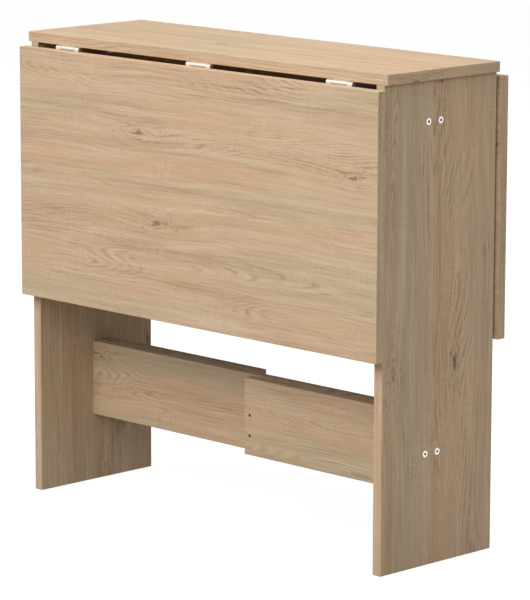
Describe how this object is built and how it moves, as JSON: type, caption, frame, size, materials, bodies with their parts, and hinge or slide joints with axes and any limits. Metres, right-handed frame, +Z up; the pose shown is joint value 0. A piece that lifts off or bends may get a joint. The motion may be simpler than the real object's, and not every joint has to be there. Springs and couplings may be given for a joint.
{
  "type": "drop leaf table",
  "caption": "Narrow drop leaf table in pale sawn-oak board: panel legs joined by layered rails, full-height hanging leaves on pin hinges, and flat steel swing arms that hold them up.",
  "frame": {"origin": "on the floor under the middle of the table, leaves hanging", "axes": "+X along the table to the right, -Y towards the front leaf, +Z up"},
  "size_m": [0.77, 0.278, 0.734],
  "materials": {
    "oak_board": "matt printed oak board with sawn grain",
    "beech_dowel": "plain turned beech",
    "black_rubber": "matt",
    "steel_arm": "zinc-plated flat bar",
    "black_screw": "blackened",
    "zinc_fastener": "zinc-plated",
    "nickel_hinge": "nickel-plated"
  },
  "bodies": {
    "frame": {"arm_pivot_bolts": "zinc_fastener", "arm_pivot_washers": "zinc_fastener", "cam_bolts": "zinc_fastener", "cam_locks": "zinc_fastener", "centre_rail_lower": "oak_board", "centre_rail_upper": "oak_board", "front_half_rail_lower": "oak_board", "front_half_rail_upper": "oak_board", "front_left_hinge_fixed_plate": "nickel_hinge", "front_middle_hinge_fixed_plate": "nickel_hinge", "front_right_hinge_fixed_plate": "nickel_hinge", "leaf_bumpers": "black_rubber", "left_panel_screws": "zinc_fastener", "left_side_panel": "oak_board", "rail_dowels": "beech_dowel", "rail_joint_screws": "black_screw", "rail_spacers": "oak_board", "rear_half_rail_lower": "oak_board", "rear_half_rail_upper": "oak_board", "rear_left_hinge_fixed_plate": "nickel_hinge", "rear_middle_hinge_fixed_plate": "nickel_hinge", "rear_right_hinge_fixed_plate": "nickel_hinge", "right_panel_screws": "zinc_fastener", "right_side_panel": "oak_board", "top_dowels": "beech_dowel", "top_hinge_screws": "nickel_hinge", "top_panel": "oak_board"},
    "front_leaf": {"front_leaf": "oak_board", "front_leaf_hinge_screws": "nickel_hinge", "front_left_hinge_leaf_plate": "nickel_hinge", "front_left_hinge_pin": "nickel_hinge", "front_middle_hinge_leaf_plate": "nickel_hinge", "front_middle_hinge_pin": "nickel_hinge", "front_right_hinge_leaf_plate": "nickel_hinge", "front_right_hinge_pin": "nickel_hinge"},
    "rear_leaf": {"rear_leaf": "oak_board", "rear_leaf_hinge_screws": "nickel_hinge", "rear_left_hinge_leaf_plate": "nickel_hinge", "rear_left_hinge_pin": "nickel_hinge", "rear_middle_hinge_leaf_plate": "nickel_hinge", "rear_middle_hinge_pin": "nickel_hinge", "rear_right_hinge_leaf_plate": "nickel_hinge", "rear_right_hinge_pin": "nickel_hinge"},
    "front_left_arm": {"front_left_arm": "steel_arm", "front_left_arm_pad": "black_rubber"},
    "front_right_arm": {"front_right_arm": "steel_arm", "front_right_arm_pad": "black_rubber"},
    "rear_left_arm": {"rear_left_arm": "steel_arm", "rear_left_arm_pad": "black_rubber"},
    "rear_right_arm": {"rear_right_arm": "steel_arm", "rear_right_arm_pad": "black_rubber"}
  },
  "joints": [
    {"name": "front_leaf_hinge", "type": "hinge", "parent": "frame", "child": "front_leaf", "pos_m": [0, -0.11905, 0.71405], "axis": [-1, 0, 0], "range_deg": [0, 90]},
    {"name": "rear_leaf_hinge", "type": "hinge", "parent": "frame", "child": "rear_leaf", "pos_m": [0, 0.11905, 0.71405], "axis": [1, 0, 0], "range_deg": [0, 90]},
    {"name": "front_left_arm_swing", "type": "hinge", "parent": "frame", "child": "front_left_arm", "pos_m": [-0.245, -0.072, 0.7146], "axis": [0, 0, -1], "range_deg": [0, 90]},
    {"name": "front_right_arm_swing", "type": "hinge", "parent": "frame", "child": "front_right_arm", "pos_m": [0.245, -0.072, 0.7146], "axis": [0, 0, 1], "range_deg": [0, 90]},
    {"name": "rear_left_arm_swing", "type": "hinge", "parent": "frame", "child": "rear_left_arm", "pos_m": [-0.245, 0.072, 0.7146], "axis": [0, 0, 1], "range_deg": [0, 90]},
    {"name": "rear_right_arm_swing", "type": "hinge", "parent": "frame", "child": "rear_right_arm", "pos_m": [0.245, 0.072, 0.7146], "axis": [0, 0, -1], "range_deg": [0, 90]}
  ]
}
